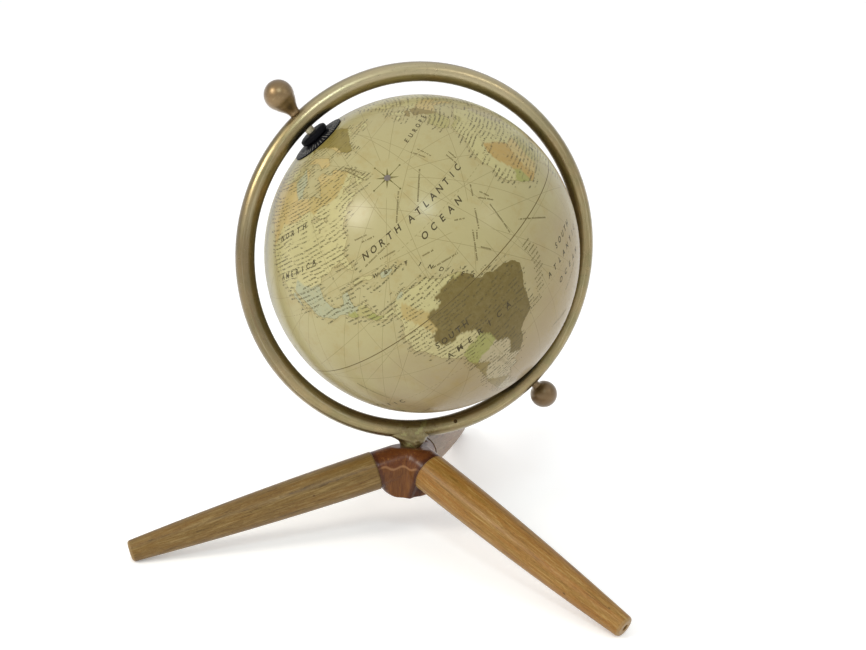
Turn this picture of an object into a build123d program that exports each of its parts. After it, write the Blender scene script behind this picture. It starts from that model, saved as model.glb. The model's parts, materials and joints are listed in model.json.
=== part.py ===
from build123d import *
import math
import os

# A desktop globe. A hollow two-shell ball turns on a slanted axle that crosses a round tube ring.
# The ring stands on a short welded post, bolted to a three-lobed wooden hub with three tapered legs.
# Lengths are in millimetres, angles in degrees. +X runs along the ring, away from the left leg.

# Ball
globe_diameter = 203.0
shell_wall = 1.8
seam_gap = 0.1
band_width = 14.0
band_thickness = 2.0
band_clearance = 0.1
disc_diameter = 36.0
disc_thickness = 0.6
cap_diameter = 19.0
cap_height = 4.3
cap_rounding = 1.7
barrel_diameter = 10.0
barrel_length = 12.0
pole_hole_clearance = 0.6
collar_diameter = 17.0
collar_thickness = 2.5

# Ring
finger_gap = 7.8
tube_diameter = 12.0
tube_wall = 1.2
axis_slant = 45.0
spigot_span = 16.0
spigot_clearance = 0.15
pin_diameter = 2.6
pin_depth = 4.0
pin_angle = 14.2
pin_rise = 22.0
pin_sink = 0.3

# Post under the ring, and its weld
post_drop = 12.0
post_foot_diameter = 14.2
post_head_diameter = 18.8
post_head_drop = 1.0
weld_reach = 15.0
weld_width = 10.0

# Axle, sleeves and ball ends
axle_diameter = 4.0
axle_end_depth = 8.0
sleeve_diameter = 5.8
ball_diameter = 18.4
neck_diameter = 5.8
neck_join_angle = 42.0
north_neck_length = 14.5
south_neck_length = 10.9

# Hub
hub_top = 8.5
hub_bottom = 23.5
bowl_diameter = 43.0
bowl_rounding = 7.0
lobe_step = 0.4
waist_distance = 15.0
waist_radius = 13.6
lobe_reach = {"left": 26.0, "right": 16.5, "rear": 21.5}

# Legs
leg_azimuth = {"left": 180.0, "right": -60.0, "rear": 60.0}
leg_length = 168.5
leg_hub_diameter = 26.2
leg_middle_diameter = 22.8
leg_tip_diameter = 14.4
leg_hub_edge = 0.7
leg_tip_rounding = 2.0
end_hole_diameter = 4.8
end_hole_depth = 10.0
dowel_diameter = 8.0
dowel_start = 8.5
dowel_in_leg = 20.0

# Stance
hub_height = 56.0
foot_flat_depth = 1.0
ring_lean_back = 8.6
ring_lean_side = 2.4

# Bolt up through the hub
bolt_diameter = 6.0
bolt_end_wall = 1.0
bolt_head_across_flats = 10.0
bolt_head_height = 4.0
washer_diameter = 14.0
washer_thickness = 1.4
counterbore_diameter = 17.0
counterbore_depth = 8.5

# Fits, as clearances on the radius or along the axis
running_clearance = 0.05
fixed_clearance = 0.03
seat_clearance = 0.08
end_play = 0.1
drill_overrun = 1.0

globe_radius = globe_diameter / 2
tube_radius = tube_diameter / 2
ring_radius = globe_radius + finger_gap + tube_radius
tube_near = ring_radius - tube_radius
tube_far = ring_radius + tube_radius
pole_hole_radius = barrel_diameter / 2 + pole_hole_clearance
cap_base = globe_radius + disc_thickness + 2 * seat_clearance
cap_top = cap_base + cap_height
ring_height = hub_top + post_drop + ring_radius
post_foot = -ring_radius - post_drop
bolt_seat = -ring_height - hub_bottom + counterbore_depth
lobe_radius = leg_hub_diameter / 2 - lobe_step


# Places. Each frame is reached from the point where the three leg axes meet.

def ring_place():
    """Origin at the ring's centre, +Z up the post, +Y square to the ring."""
    return Rot(X=-ring_lean_back) * Rot(Y=ring_lean_side) * Pos(Z=ring_height)


def axis_place():
    """Origin at the ring's centre, +Z along the axle to the north end."""
    return ring_place() * Rot(Y=-axis_slant)


def pin_place():
    """In the ring's frame: +Z points into the front of the tube, square to its surface."""
    on_tube = Rot(Y=-pin_angle) * Pos(Z=-ring_radius)
    return on_tube * Rot(X=-90.0 - pin_rise) * Pos(Z=-tube_radius)


def leg_place(name):
    """+Z runs down the leg, at the slope that puts its tip just through the floor."""
    reach = lobe_reach[name] + leg_length
    tip_radius = leg_tip_diameter / 2
    drop = hub_height + foot_flat_depth
    slope = math.asin(drop / math.hypot(reach, tip_radius)) - math.atan2(tip_radius, reach)
    return Rot(Z=leg_azimuth[name]) * Rot(Y=90.0 + math.degrees(slope))


# Shapes used more than once

def rod(radius, low, high):
    return Pos(Z=low) * Cylinder(radius, high - low, align=(Align.CENTER, Align.CENTER, Align.MIN))


def turned(*outline):
    """A closed outline in the XZ plane, turned about Z."""
    return revolve(Plane.XZ * make_face(outline), Axis.Z)


def tube_seat():
    """What a piece loses where it sits on the ring's tube, in the ring's frame."""
    return Rot(X=90) * Torus(ring_radius, tube_radius + seat_clearance)


def tube_seat_from_axle():
    return Rot(Y=axis_slant) * tube_seat()


def axle_hole():
    depth = tube_far + axle_end_depth + end_play
    return rod(axle_diameter / 2 + fixed_clearance, -depth, depth)


# Pieces that turn with the ball, in the axle's frame with +Z to their own pole

def globe_shell():
    shell = Sphere(globe_radius) - Sphere(globe_radius - shell_wall)
    half_height = globe_radius + seam_gap
    half = rod(2 * globe_radius, seam_gap / 2, half_height)
    return shell & half - rod(pole_hole_radius, 0, half_height)


def equator_band():
    outside = globe_radius - shell_wall - band_clearance
    slab = rod(2 * globe_radius, -band_width / 2, band_width / 2)
    return Sphere(outside) & slab - rod(outside - band_thickness, -band_width, band_width)


def polar_disc():
    under = globe_radius + seat_clearance
    layer = Sphere(under + disc_thickness) - Sphere(under)
    column = rod(disc_diameter / 2, 0, 2 * globe_radius)
    return layer & column - rod(pole_hole_radius, 0, 2 * globe_radius)


def pole_cap():
    head = rod(cap_diameter / 2, globe_radius - cap_height, cap_top)
    head = fillet(head.edges().sort_by(Axis.Z)[-1], cap_rounding)
    barrel_end = globe_radius - shell_wall - barrel_length
    barrel = rod(barrel_diameter / 2, barrel_end, cap_top - cap_rounding)
    bore = rod(axle_diameter / 2 + running_clearance, 0, 2 * globe_radius)
    return head - Sphere(cap_base) + barrel - bore


def cap_collar():
    inside = globe_radius - shell_wall
    top = math.sqrt(inside ** 2 - (collar_diameter / 2) ** 2) - end_play
    disc = rod(collar_diameter / 2, top - collar_thickness, top)
    return disc - rod(barrel_diameter / 2 + fixed_clearance, 0, globe_radius)


# Fixed pieces along the axle, in its frame

def axle():
    return rod(axle_diameter / 2, -tube_far - axle_end_depth, tube_far + axle_end_depth)


def sleeve():
    body = rod(sleeve_diameter / 2, cap_top + end_play, tube_near + tube_radius / 2)
    return body - tube_seat_from_axle() - axle_hole()


def finial(neck_length):
    """A ball on a flared neck whose foot is saddled on the tube."""
    ball_radius = ball_diameter / 2
    neck_radius = neck_diameter / 2
    centre = tube_far + neck_length
    turn = math.radians(neck_join_angle)
    foot = tube_far - tube_radius / 4
    join = (ball_radius * math.sin(turn), centre - ball_radius * math.cos(turn))
    neck_top = (neck_radius, min(foot + tube_radius / 2, join[1] - neck_radius / 4))
    flare = Spline(neck_top, join, tangents=((0, 1), (math.cos(turn), math.sin(turn))))
    ball = ThreePointArc(join, (ball_radius, centre), (0, centre + ball_radius))
    middle = Line((0, centre + ball_radius), (0, foot))
    base = Line((0, foot), (neck_radius, foot))
    body = turned(Line((neck_radius, foot), neck_top), flare, ball, middle, base)
    return body - tube_seat_from_axle() - axle_hole()


# Ring, pin, spigot and post, in the ring's frame

def pin_hole():
    return pin_place() * rod(pin_diameter / 2 + fixed_clearance, -pin_depth, pin_depth + end_play)


def ring_half(turn):
    """Half of the tube, drilled before it meets the other half."""
    section = Circle(tube_radius) - Circle(tube_radius - tube_wall)
    half = Rot(Y=turn) * Rot(X=90) * revolve(Plane.XZ * Pos(X=ring_radius) * section, Axis.Z, 180)
    half -= Rot(Y=-axis_slant) * axle_hole()
    return half - pin_hole()


def ring():
    return ring_half(0) + ring_half(180)


def ring_pin():
    return pin_place() * rod(pin_diameter / 2, pin_sink, pin_depth)


def ring_spigot():
    """A curved bar inside the tube where its ends meet, centred on the pin."""
    section = Circle(tube_radius - tube_wall - spigot_clearance)
    bar = revolve(Plane.XZ * Pos(X=ring_radius) * section, Axis.Z, spigot_span)
    return Rot(X=90) * Rot(Z=pin_angle - 90.0 - spigot_span / 2) * bar - pin_hole()


def ring_post():
    """A stub that swells into a bulb round the tube's underside."""
    foot_radius = post_foot_diameter / 2
    head_radius = post_head_diameter / 2
    head = -ring_radius - tube_radius - post_head_drop
    side = Spline((foot_radius, post_foot), (head_radius, head), tangents=((1, 4), (0, 1)))
    shoulder = head_radius * math.sqrt(0.5)
    dome = ThreePointArc((head_radius, head), (shoulder, head + shoulder), (0, head + head_radius))
    middle = Line((0, head + head_radius), (0, post_foot))
    base = Line((0, post_foot), (foot_radius, post_foot))
    stub = turned(side, dome, middle, base)
    hole_top = -ring_radius - tube_radius - bolt_end_wall + end_play
    hole = rod(bolt_diameter / 2 + fixed_clearance, post_foot - drill_overrun, hole_top)
    return stub + weld_flare() - tube_seat() - hole


def weld_flare():
    """A gusset under the tube that runs out level with it on both sides of the post."""
    start = (post_foot_diameter / 2, post_foot + post_drop / 4)
    tip = (weld_reach, -ring_radius - tube_radius + weld_reach ** 2 / (2 * tube_far))
    top = tip[1] + tube_radius / 2
    flare = Spline(start, tip, tangents=((1, 2), (1, 0)))
    edge = Line(tip, (weld_reach, top))
    roof = Line((weld_reach, top), (0, top))
    middle = Line((0, top), (0, start[1]))
    base = Line((0, start[1]), start)
    gusset = turned(flare, edge, roof, middle, base)
    return gusset & Pos(Z=-ring_radius) * Box(3 * weld_reach, weld_width, 3 * post_drop)


# Bolt and washer, in the ring's frame

def hub_washer():
    disc = rod(washer_diameter / 2, bolt_seat - washer_thickness, bolt_seat)
    return disc - rod(bolt_diameter / 2 + running_clearance, bolt_seat - 2 * washer_thickness, bolt_seat)


def hub_bolt():
    under_head = bolt_seat - washer_thickness
    shank = rod(bolt_diameter / 2, under_head, -ring_radius - tube_radius - bolt_end_wall)
    hexagon = RegularPolygon(bolt_head_across_flats / 2, 6, major_radius=False)
    return shank + extrude(Pos(Z=under_head - bolt_head_height) * hexagon, bolt_head_height)


# Hub and legs, in the stand's frame

def hub_bowl():
    """The hub's lower body: a rounded bowl with three concave waists between the legs."""
    bowl = rod(bowl_diameter / 2, -hub_bottom, 0)
    bowl = fillet(bowl.edges().sort_by(Axis.Z)[0], bowl_rounding)
    for azimuth in leg_azimuth.values():
        waist = Pos(X=waist_distance + waist_radius) * rod(waist_radius, -2 * hub_bottom, hub_bottom)
        bowl -= Rot(Z=azimuth + 60.0) * waist
    return bowl


def hub():
    body = hub_bowl()
    for name, reach in lobe_reach.items():
        body += leg_place(name) * rod(lobe_radius, 0, reach)
    for name, reach in lobe_reach.items():
        body -= leg_place(name) * rod(2 * bowl_diameter, reach, reach + 2 * bowl_diameter)
        dowel_hole = rod(dowel_diameter / 2 + fixed_clearance, dowel_start, reach + drill_overrun)
        body -= leg_place(name) * dowel_hole
    above_post = rod(2 * bowl_diameter, post_foot, post_foot + 2 * bowl_diameter)
    bolt_hole_radius = bolt_diameter / 2 + running_clearance
    bolt_hole = rod(bolt_hole_radius, bolt_seat - drill_overrun, post_foot + drill_overrun)
    counterbore = rod(counterbore_diameter / 2, bolt_seat - 2 * counterbore_depth, bolt_seat)
    for cut in (above_post, bolt_hole, counterbore):
        body -= ring_place() * cut
    return body


def leg(name):
    start = lobe_reach[name]
    end = start + leg_length
    tip_radius = leg_tip_diameter / 2
    round_off = leg_tip_rounding * (1 - math.sqrt(0.5))
    face_edge = (leg_hub_diameter / 2 - leg_hub_edge, start)
    hub_edge = (leg_hub_diameter / 2, start + leg_hub_edge)
    tip_edge = (tip_radius, end - leg_tip_rounding)
    tip_corner = (tip_radius - round_off, end - round_off)
    tip_face = (tip_radius - leg_tip_rounding, end)
    side = ThreePointArc(hub_edge, (leg_middle_diameter / 2, (start + end) / 2), tip_edge)
    rounding = ThreePointArc(tip_edge, tip_corner, tip_face)
    tip = Line(tip_face, (0, end))
    middle = Line((0, end), (0, start))
    body = turned(Line(face_edge, hub_edge), side, rounding, tip, middle, Line((0, start), face_edge))
    dowel_end = start + dowel_in_leg + end_play
    body -= rod(dowel_diameter / 2 + fixed_clearance, start - drill_overrun, dowel_end)
    body -= rod(end_hole_diameter / 2, end - end_hole_depth, end + drill_overrun)
    below_floor = rod(2 * end, -hub_height - leg_length, -hub_height)
    return leg_place(name) * body - below_floor


def dowel(name):
    body = rod(dowel_diameter / 2, dowel_start + end_play, lobe_reach[name] + dowel_in_leg)
    return leg_place(name) * body


def make_nodes():
    north = axis_place()
    south = axis_place() * Rot(X=180)
    nodes = {
        "equator_band": north * equator_band(),
        "axle": north * axle(),
        "finial_north": north * finial(north_neck_length),
        "finial_south": south * finial(south_neck_length),
        "ring": ring_place() * ring(),
        "ring_pin": ring_place() * ring_pin(),
        "ring_spigot": ring_place() * ring_spigot(),
        "ring_post": ring_place() * ring_post(),
        "hub_bolt": ring_place() * hub_bolt(),
        "hub_washer": ring_place() * hub_washer(),
        "hub": hub(),
    }
    for end, place in (("north", north), ("south", south)):
        nodes["globe_" + end] = place * globe_shell()
        nodes["polar_disc_" + end] = place * polar_disc()
        nodes["pole_cap_" + end] = place * pole_cap()
        nodes["cap_collar_" + end] = place * cap_collar()
        nodes["sleeve_" + end] = place * sleeve()
    for name in lobe_reach:
        nodes["leg_" + name] = leg(name)
        nodes["dowel_" + name] = dowel(name)
    return nodes


def main():
    nodes = make_nodes()
    solids = [solid for shape in nodes.values() for solid in shape.solids()]
    box = Compound(children=solids).bounding_box()
    to_base_centre = Pos(-box.center().X, -box.center().Y, -box.min.Z)
    os.makedirs("parts", exist_ok=True)
    for name, shape in nodes.items():
        export_step(to_base_centre * shape, "parts/" + name + ".step")
    print("size", box.size)
    print("ring centre", (to_base_centre * ring_place()).position)
    print("axle direction", Plane(axis_place()).z_dir)


if __name__ == "__main__":
    main()
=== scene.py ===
import json
import math
import random

import bpy
import numpy as np
from mathutils import Matrix, Vector


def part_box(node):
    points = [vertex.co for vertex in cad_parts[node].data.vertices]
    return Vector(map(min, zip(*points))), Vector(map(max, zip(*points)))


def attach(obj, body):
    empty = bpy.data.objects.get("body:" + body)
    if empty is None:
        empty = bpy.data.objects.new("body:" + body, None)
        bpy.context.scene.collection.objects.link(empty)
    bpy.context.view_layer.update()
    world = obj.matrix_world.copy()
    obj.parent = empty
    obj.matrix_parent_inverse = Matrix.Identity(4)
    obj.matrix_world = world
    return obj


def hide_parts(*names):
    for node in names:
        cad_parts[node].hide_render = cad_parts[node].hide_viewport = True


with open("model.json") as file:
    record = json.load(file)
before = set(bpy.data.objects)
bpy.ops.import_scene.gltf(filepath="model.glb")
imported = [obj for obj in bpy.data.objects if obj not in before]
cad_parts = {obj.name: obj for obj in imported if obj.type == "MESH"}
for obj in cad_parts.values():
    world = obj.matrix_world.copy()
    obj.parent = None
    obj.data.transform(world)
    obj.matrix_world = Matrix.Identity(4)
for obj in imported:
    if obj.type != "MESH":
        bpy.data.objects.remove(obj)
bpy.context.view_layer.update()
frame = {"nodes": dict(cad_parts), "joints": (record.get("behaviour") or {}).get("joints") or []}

mm = 0.001
fullTurn = 2 * math.pi
worldAxes = (Vector((1, 0, 0)), Vector((0, 1, 0)), Vector((0, 0, 1)))
worldUp = worldAxes[2]
nodes = frame["nodes"]
spin = next(joint for joint in frame["joints"] if joint["name"] == "globe_spin")


# node trees: sums on sockets, and one way to add a node

class Wire:  # an output socket that can stand in a sum
    def __init__(self, finish, socket):
        self.finish = finish
        self.socket = socket

    def sum(self, operation, *values):
        return self.finish.node("ShaderNodeMath", {"operation": operation}, values)

    def to(self, operation, *others):  # this value first, then any others
        return self.sum(operation, self, *others)

    def __add__(self, other):
        return self.to("ADD", other)

    def __radd__(self, other):
        return self.sum("ADD", other, self)

    def __sub__(self, other):
        return self.to("SUBTRACT", other)

    def __rsub__(self, other):
        return self.sum("SUBTRACT", other, self)

    def __mul__(self, other):
        return self.to("MULTIPLY", other)

    def __rmul__(self, other):
        return self.sum("MULTIPLY", other, self)

    def __truediv__(self, other):
        return self.to("DIVIDE", other)

    def __pow__(self, other):
        return self.to("POWER", other)

    def __abs__(self):
        return self.to("ABSOLUTE")


class Finish:  # one material, or the sky, and the nodes in it
    def __init__(self, name, kind="materials"):
        self.block = getattr(bpy.data, kind).new(name)
        self.block.use_nodes = True
        self.tree = self.block.node_tree
        self.tree.nodes.clear()

    def node(self, kind, settings=None, sockets=(), output=0):
        made = self.tree.nodes.new(kind)
        for key, value in (settings or {}).items():
            setattr(made, key, value)
        pairs = sockets.items() if isinstance(sockets, dict) else enumerate(sockets)
        for key, value in pairs:
            if isinstance(value, Wire):
                self.tree.links.new(value.socket, made.inputs[key])
            else:
                made.inputs[key].default_value = value
        return Wire(self, made.outputs[output]) if len(made.outputs) else None

    def blend(self, factor, first, second):  # two colours
        settings = {"data_type": "RGBA", "clamp_factor": True}
        return self.node("ShaderNodeMix", settings, {0: factor, 6: first, 7: second}, 2)

    def ease(self, value, low, high, start=0.0, end=1.0):  # a soft step from start to end
        settings = {"interpolation_type": "SMOOTHSTEP"}
        return self.node("ShaderNodeMapRange", settings, (value, low, high, start, end))

    def line(self, distance, core, edge):  # 1 up to core from a line, 0 past edge
        return self.ease(distance, core, edge, 1.0, 0.0)

    def coats(self, colour, *coats):  # each coat: value, where it begins and is full, its share, its ink
        for value, low, high, share, ink in coats:
            colour = self.blend(self.ease(value, low, high) * share, colour, ink)
        return colour

    def most(self, value, *others):
        for other in others:
            value = value.to("MAXIMUM", other)
        return value

    def grain(self, place, scale, detail=4.0, rough=0.55, warp=0.0):  # place is a socket or three values
        if isinstance(place, tuple):
            place = self.pack(*place)
        sockets = {"Vector": place, "Scale": scale, "Detail": detail, "Roughness": rough, "Distortion": warp}
        return self.node("ShaderNodeTexNoise", {}, sockets)

    def dots(self, place, scale, core, edge):  # a round dot in each cell
        return self.line(self.node("ShaderNodeTexVoronoi", {}, {"Vector": place, "Scale": scale}), core, edge)

    def pack(self, x, y, z):
        return self.node("ShaderNodeCombineXYZ", {}, (x, y, z))

    def along(self, place, way):
        return self.node("ShaderNodeVectorMath", {"operation": "DOT_PRODUCT"}, (place, way), 1)

    def axes(self, spot):  # this surface's place in a piece's own frame, in millimetres
        seen = self.node("ShaderNodeTexCoord", output=3)
        shifted = self.node("ShaderNodeVectorMath", {"operation": "SUBTRACT"}, (seen, spot["origin"]))
        return [self.along(shifted, way / mm) for way in spot["axes"]]

    def bump(self, height, distance, strength, under=None):
        sockets = {"Strength": strength, "Distance": distance, "Height": height}
        if under is not None:
            sockets["Normal"] = under
        return self.node("ShaderNodeBump", {}, sockets)

    def shade(self, colour, rough, **sockets):  # the Principled shader, with _ for a blank in a name
        named = {key.replace("_", " "): value for key, value in sockets.items()}
        named |= {"Base Color": colour, "Roughness": rough}
        surface = self.node("ShaderNodeBsdfPrincipled", {}, named)
        self.node("ShaderNodeOutputMaterial", {}, {"Surface": surface})
        return self.block


def paint(red, green, blue):  # screen values from 0 to 255 to a node's colour
    def linear(value):
        value /= 255.0
        return value / 12.92 if value < 0.04045 else ((value + 0.055) / 1.055) ** 2.4
    return (linear(red), linear(green), linear(blue), 1.0)


def inks(**shades):
    return {name: paint(*shade) for name, shade in shades.items()}


# where things are; radii are in millimetres

def unit(vector):
    return Vector(vector).normalized()


def middle(name):
    low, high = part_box(name)
    return (low + high) / 2


def vertices(piece):
    return np.array([v.co for v in piece.data.vertices], float)


centre = Vector(spin["pos_m"])
north = unit(spin["axis"])
mapTurn = math.radians(-28.0)  # where the printed zero meridian stands at rest
upAcross = unit(worldUp - north * north.z)
zeroEast = upAcross * math.cos(mapTurn) + north.cross(upAcross) * math.sin(mapTurn)
ballSpot = {"origin": centre, "axes": (zeroEast, north.cross(zeroEast), north)}
ballRadius = max(np.linalg.norm(vertices(nodes["globe_north"]) - np.array(centre), axis=1)) / mm
perDegree = ballRadius * math.pi / 180  # millimetres on the ball

ringPoints = vertices(nodes["ring"]) - np.array(centre)
ringNormal = unit(np.linalg.svd(ringPoints - ringPoints.mean(0), full_matrices=False)[2][2])
if ringNormal.y > 0:
    ringNormal = -ringNormal
down = middle("ring_post") - centre
down = unit(down - ringNormal * down.dot(ringNormal))
ringSpot = {"origin": centre, "axes": (down, ringNormal.cross(down), ringNormal)}
ringReach = np.linalg.norm(ringPoints, axis=1) / mm
tubeRadius = np.ptp(ringReach) / 2
ringRadius = ringReach.min() + tubeRadius


def legSpot(name):
    points = vertices(nodes["leg_" + name])
    mean = points.mean(0)
    way = Vector(np.linalg.svd(points - mean, full_matrices=False)[2][0])
    if way.z > 0:
        way = -way
    along = (points - mean) @ np.array(way)
    side = unit(way.cross(worldUp))
    start = Vector(mean) + way * along.min()
    return {"origin": start, "axes": (side, side.cross(way), way), "length": float(np.ptp(along)) / mm}


legNames = ("left", "right", "rear")
legSpots = {name: legSpot(name) for name in legNames}
print("frame read: ball radius", round(ballRadius, 2), "ring radius", round(ringRadius, 2))


# meshes

def linked(name, data):  # a new object in the scene
    made = bpy.data.objects.new(name, data)
    bpy.context.scene.collection.objects.link(made)
    return made


def settled(piece):  # its mesh once curves and modifiers are worked out
    bpy.context.view_layer.update()
    return bpy.data.meshes.new_from_object(piece.evaluated_get(bpy.context.evaluated_depsgraph_get()))


def meshPiece(name, shape, finish, body, standsFor=()):
    points, faces = shape
    mesh = bpy.data.meshes.new(name)
    mesh.from_pydata([tuple(p) for p in points], [], faces)
    mesh.update()
    mesh.shade_smooth()
    piece = linked(name, mesh)
    mesh.materials.append(finish)
    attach(piece, body)
    if standsFor:
        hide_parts(*standsFor)
    return piece


def fanFaces(sides):  # from point 0 to the ring of points after it
    return [(0, k + 1, (k + 1) % sides + 1) for k in range(sides)]


def gridFaces(rows, sides, closed=False):  # between rows of points that each run all the way round
    faces = []
    for row in range(rows if closed else rows - 1):
        here, above = row * sides, (row + 1) % rows * sides
        for k in range(sides):
            far = (k + 1) % sides
            faces.append((here + k, here + far, above + far, above + k))
    return faces


def turned(profile, spot, sides=96):  # a closed outline of radius and height, about a spot's third axis
    first, second, axis = spot["axes"]
    points = []
    for radius, height in profile:
        for k in range(sides):
            turn = fullTurn * k / sides
            out = first * math.cos(turn) + second * math.sin(turn)
            points.append(spot["origin"] + (out * radius + axis * height) * mm)
    return points, gridFaces(len(profile), sides, closed=True)


def mirrored(profile, side):  # side is 1 for the north end and -1 for the south end
    return [(radius, side * height) for radius, height in profile][::side]


def onBall(latitude, longitude, lift, across=0.0, up=0.0):  # degrees, then millimetres out, east and north
    lat = math.radians(latitude + up / perDegree)
    lon = math.radians(longitude + across / (perDegree * math.cos(math.radians(latitude))))
    east, far, pole = ballSpot["axes"]
    out = (east * math.cos(lon) + far * math.sin(lon)) * math.cos(lat) + pole * math.sin(lat)
    return centre + out * (ballRadius + lift) * mm


# the printed map: coasts, lakes and tints, drawn in degrees north and east

mapPrint = {
    "columns": 480,         # map cells round the equator
    "rows": 120,            # map cells from the equator to a pole
    "wall": 1.8,            # the shell, in millimetres
    "seam": 0.05,           # half the open seam at the equator
    "bevel": (0.15, 0.04),  # how far the seam's edge draws in, in two steps
    "innerRows": 12,
    "poleHole": 5.6,
    "sharp": 40.0,          # edges over this many degrees stay crisp
    "stretch": 2.6,         # how far the gores are stretched between pole and equator, in degrees
    "farCoast": 8.0,        # distances from the coast are kept up to this, in millimetres
    "borderWobble": 2.2,    # how unevenly the borders run, in degrees
}

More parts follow.
